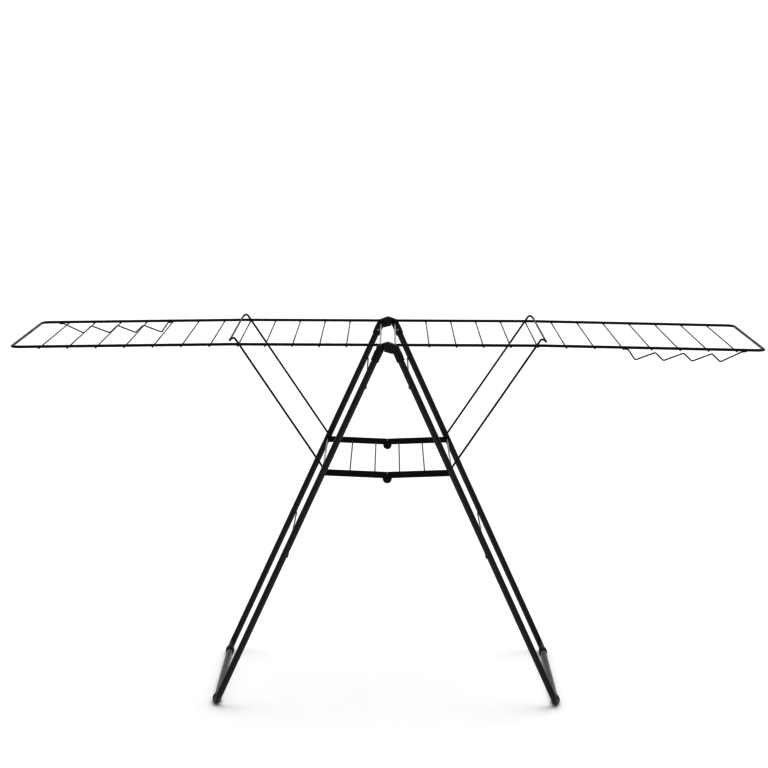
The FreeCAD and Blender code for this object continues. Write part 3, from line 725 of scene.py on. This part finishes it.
def make_shelf(name, side):
    """Half the shelf: two flat bars with half a lapped hinge each, and their wires."""
    body = f"shelf_{name}"
    tip = abs(joints["shelf_left_fold"]["pos_m"][0]) + BAR_HALF
    slope = (high(f"shelf_bar_{name}_front")[2] - BAR_HALF - BAR_MID_Z) / tip
    heading = math.degrees(math.atan(slope))
    for end_name, end in ENDS.items():
        node = f"shelf_bar_{name}_{end_name}"
        middle = (low(node)[1] + high(node)[1]) / 2
        own, other, faces = lapped(node, side, end)
        nose = (tip - BAR_HALF, BAR_MID_Z + slope * (tip - BAR_HALF))
        pin = (0.0, shelf_pin[2])
        bite = HINGE_DISC + CLEARANCE
        bottom, top = BAR_MID_Z - BAR_HALF, BAR_MID_Z + BAR_HALF
        gap = 0.0012
        enter = math.sqrt(bite ** 2 - (bottom + 0.0003 - pin[1]) ** 2)
        round_end = arc(nose, BAR_HALF, heading - 90, heading + 90, 14)
        whole = np.vstack([[[gap, bottom]], round_end, [[gap, top]]])
        start = math.degrees(math.acos(enter / bite))
        curve = arc(pin, bite, start, math.degrees(math.acos(gap / bite)), 12)
        bitten = np.vstack([curve[::-1], round_end, [[gap, top]]])
        flip = np.array([side, 1])
        strip = [prism(whole * flip, *own), prism(bitten * flip, *other)]
        piece(f"shelf_strip_{name}_{end_name}", body, BAR_PLASTIC, strip, [node],
              soft_edge=0.0008, sharp=40)
        disc = washer(0.0026, HINGE_DISC, own[0] - middle, own[1] - middle, 0.0010)
        rim = [turned(disc, np.array([0, middle, shelf_pin[2]]), Y)]
        face = own[0] if faces < 0 else own[1]
        raised = np.array([[0.0056, -0.0003], [0.0094, -0.0003], [0.0091, 0.0003], [0.0060, 0.0003]])
        rim.append(turned(raised, np.array([0, face, shelf_pin[2]]), Y * faces))
        piece(f"shelf_hinge_disc_{name}_{end_name}", body, BAR_PLASTIC, rim)

    node = f"shelf_wires_{name}"
    reach = high(node)[1]
    inner = (low(node)[0] if side > 0 else -high(node)[0]) + WIRE
    outer = (high(node)[0] if side > 0 else -low(node)[0]) - WIRE
    heights = {inner: low(node)[2] + WIRE, outer: high(node)[2] - WIRE}
    bars = [straight_bar([side * x, -reach, z], [side * x, reach, z], WIRE, around=18)
            for x, z in heights.items()]
    piece(f"shelf_rungs_{name}", body, WIRE_COAT, bars, [node])


def make_shelf_hardware():
    """The moulded hinge pins in the middle, the axle in the left leg and the right leg's stubs."""
    parts = []
    outer = high("shelf_pins")[1]
    inner = low("shelf_bar_left_back")[1] - (outer - high("shelf_bar_left_back")[1])
    head, tall = 0.0042, 0.0009
    a = np.radians([0, 20, 40, 60, 78])
    dome = np.column_stack([head * np.cos(a), tall * np.sin(a)])
    section = np.vstack([[[0.0003, -0.0002], [head, -0.0002]], dome, [[0.0003, tall * 1.01]]])
    for end in (-1, 1):
        centre = np.array([0, 0, shelf_pin[2]])
        near, far = centre + Y * end * (inner + tall), centre + Y * end * (outer - tall)
        parts.append(straight_bar(near, far, 0.0025))
        parts.append(turned(section, far, Y * end))
        parts.append(turned(section, near, Y * -end))
    piece("shelf_rivet_set", "shelf_left", BAR_PLASTIC, parts, ["shelf_pins"])

    for node, body in (("shelf_axle_left", "leg_left"), ("shelf_axle_right", "shelf_right")):
        centre = (low(node) + high(node)) / 2
        bar = straight_bar(centre * [1, 0, 1] + Y * low(node)[1], centre * [1, 0, 1] + Y * high(node)[1],
                           ROD, around=32)
        piece(f"bare_{node}", body, ROD_STEEL, [bar], [node])
    node = "shelf_stubs_right"
    centre = (low(node) + high(node)) / 2 * [1, 0, 1]
    near, far = high("shelf_bar_right_back")[1] + 0.0008, high(node)[1]
    stubs = [straight_bar(centre + Y * end * near, centre + Y * end * far, ROD, around=32)
             for end in (-1, 1)]
    piece("shelf_stub_set", "leg_right", ROD_STEEL, stubs, [node])


# ------------------------------------------------------------------ camera, floor and light

def make_camera():
    """A long lens a little above the airer, looking slightly down, with a hair of roll."""
    place = Vector((0.00065, -6.102, 1.643))
    pitch, heading, roll = math.radians(7.941), math.radians(0.097), math.radians(0.262)
    forward = Vector((-math.sin(heading) * math.cos(pitch), math.cos(heading) * math.cos(pitch),
                      -math.sin(pitch)))
    right = Vector((math.cos(heading), math.sin(heading), 0))
    up = right.cross(forward)
    across = right * math.cos(roll) + up * math.sin(roll)
    above = up * math.cos(roll) - right * math.sin(roll)
    camera = bpy.data.objects.new("camera", bpy.data.cameras.new("camera"))
    camera.data.lens = 109.83
    camera.data.sensor_width = 36.0
    camera.data.clip_end = 200.0
    rotation = Matrix((across, above, -forward)).transposed().to_4x4()
    camera.matrix_world = Matrix.Translation(place) @ rotation
    bpy.context.scene.collection.objects.link(camera)
    bpy.context.scene.camera = camera


def make_floor():
    """A wide flat white floor with a very faint mottle."""
    reach = 120.0
    mesh = bpy.data.meshes.new("floor")
    mesh.from_pydata([(-reach, -reach, 0), (reach, -reach, 0), (reach, reach, 0), (-reach, reach, 0)],
                     [], [(0, 1, 2, 3)])
    material = bpy.data.materials.new("white_floor")
    material.use_nodes = True
    tree = material.node_tree
    shader = tree.nodes["Principled BSDF"]
    mottle = noise_node(tree, 3.0, 3.0)
    mix = tree.nodes.new("ShaderNodeMix")
    mix.data_type = "RGBA"
    mix.inputs["A"].default_value = (0.965, 0.965, 0.965, 1)
    mix.inputs["B"].default_value = (0.98, 0.98, 0.98, 1)
    tree.links.new(mottle, mix.inputs["Factor"])
    tree.links.new(mix.outputs["Result"], shader.inputs["Base Color"])
    shader.inputs["Roughness"].default_value = 0.9
    shader.inputs["Specular IOR Level"].default_value = 0.0
    mesh.materials.append(material)
    floor = bpy.data.objects.new("floor", mesh)
    bpy.context.scene.collection.objects.link(floor)


def make_light():
    """White walls behind and above, a dim room in front, and one wide soft light overhead.

    The room's brightness rises with the heading's Y from a low value in front to full behind.
    """
    world = bpy.data.worlds.new("studio_room")
    bpy.context.scene.world = world
    world.use_nodes = True
    tree = world.node_tree
    background = tree.nodes["Background"]
    heading = tree.nodes.new("ShaderNodeTexCoord")
    parts = tree.nodes.new("ShaderNodeSeparateXYZ")
    rise = tree.nodes.new("ShaderNodeMapRange")
    rise.interpolation_type = "SMOOTHSTEP"
    tree.links.new(heading.outputs["Generated"], parts.inputs[0])
    tree.links.new(parts.outputs["Y"], rise.inputs["Value"])
    for socket, value in (("From Min", -0.55), ("From Max", 0.55), ("To Min", 0.18), ("To Max", 1.03)):
        rise.inputs[socket].default_value = value
    tree.links.new(rise.outputs["Result"], background.inputs["Strength"])
    background.inputs["Color"].default_value = (1, 1, 1, 1)

    light = bpy.data.lights.new("overhead", "SUN")
    light.energy = 1.65
    light.angle = math.radians(70)
    lamp = bpy.data.objects.new("overhead", light)
    lamp.rotation_euler = (math.radians(-12), math.radians(8), 0)
    bpy.context.scene.collection.objects.link(lamp)
    bpy.context.scene.view_settings.view_transform = "Standard"
    # a display gamma below one keeps the fine black wires at full weight against the white room
    bpy.context.scene.view_settings.gamma = 0.60


make_camera()
make_floor()
make_light()
for side_name, side in SIDES.items():
    make_leg(side_name, side)
    make_feet(side_name, side)
    make_rivets(side_name, side)
    make_rod(side_name, side)
    make_wing(side_name, side)
    make_hanger(side_name, side)
    make_strut(side_name, side)
    make_shelf(side_name, side)
    for end_name, end in ENDS.items():
        make_cap(side_name, side, end_name, end)
make_hub_pins()
make_shelf_hardware()
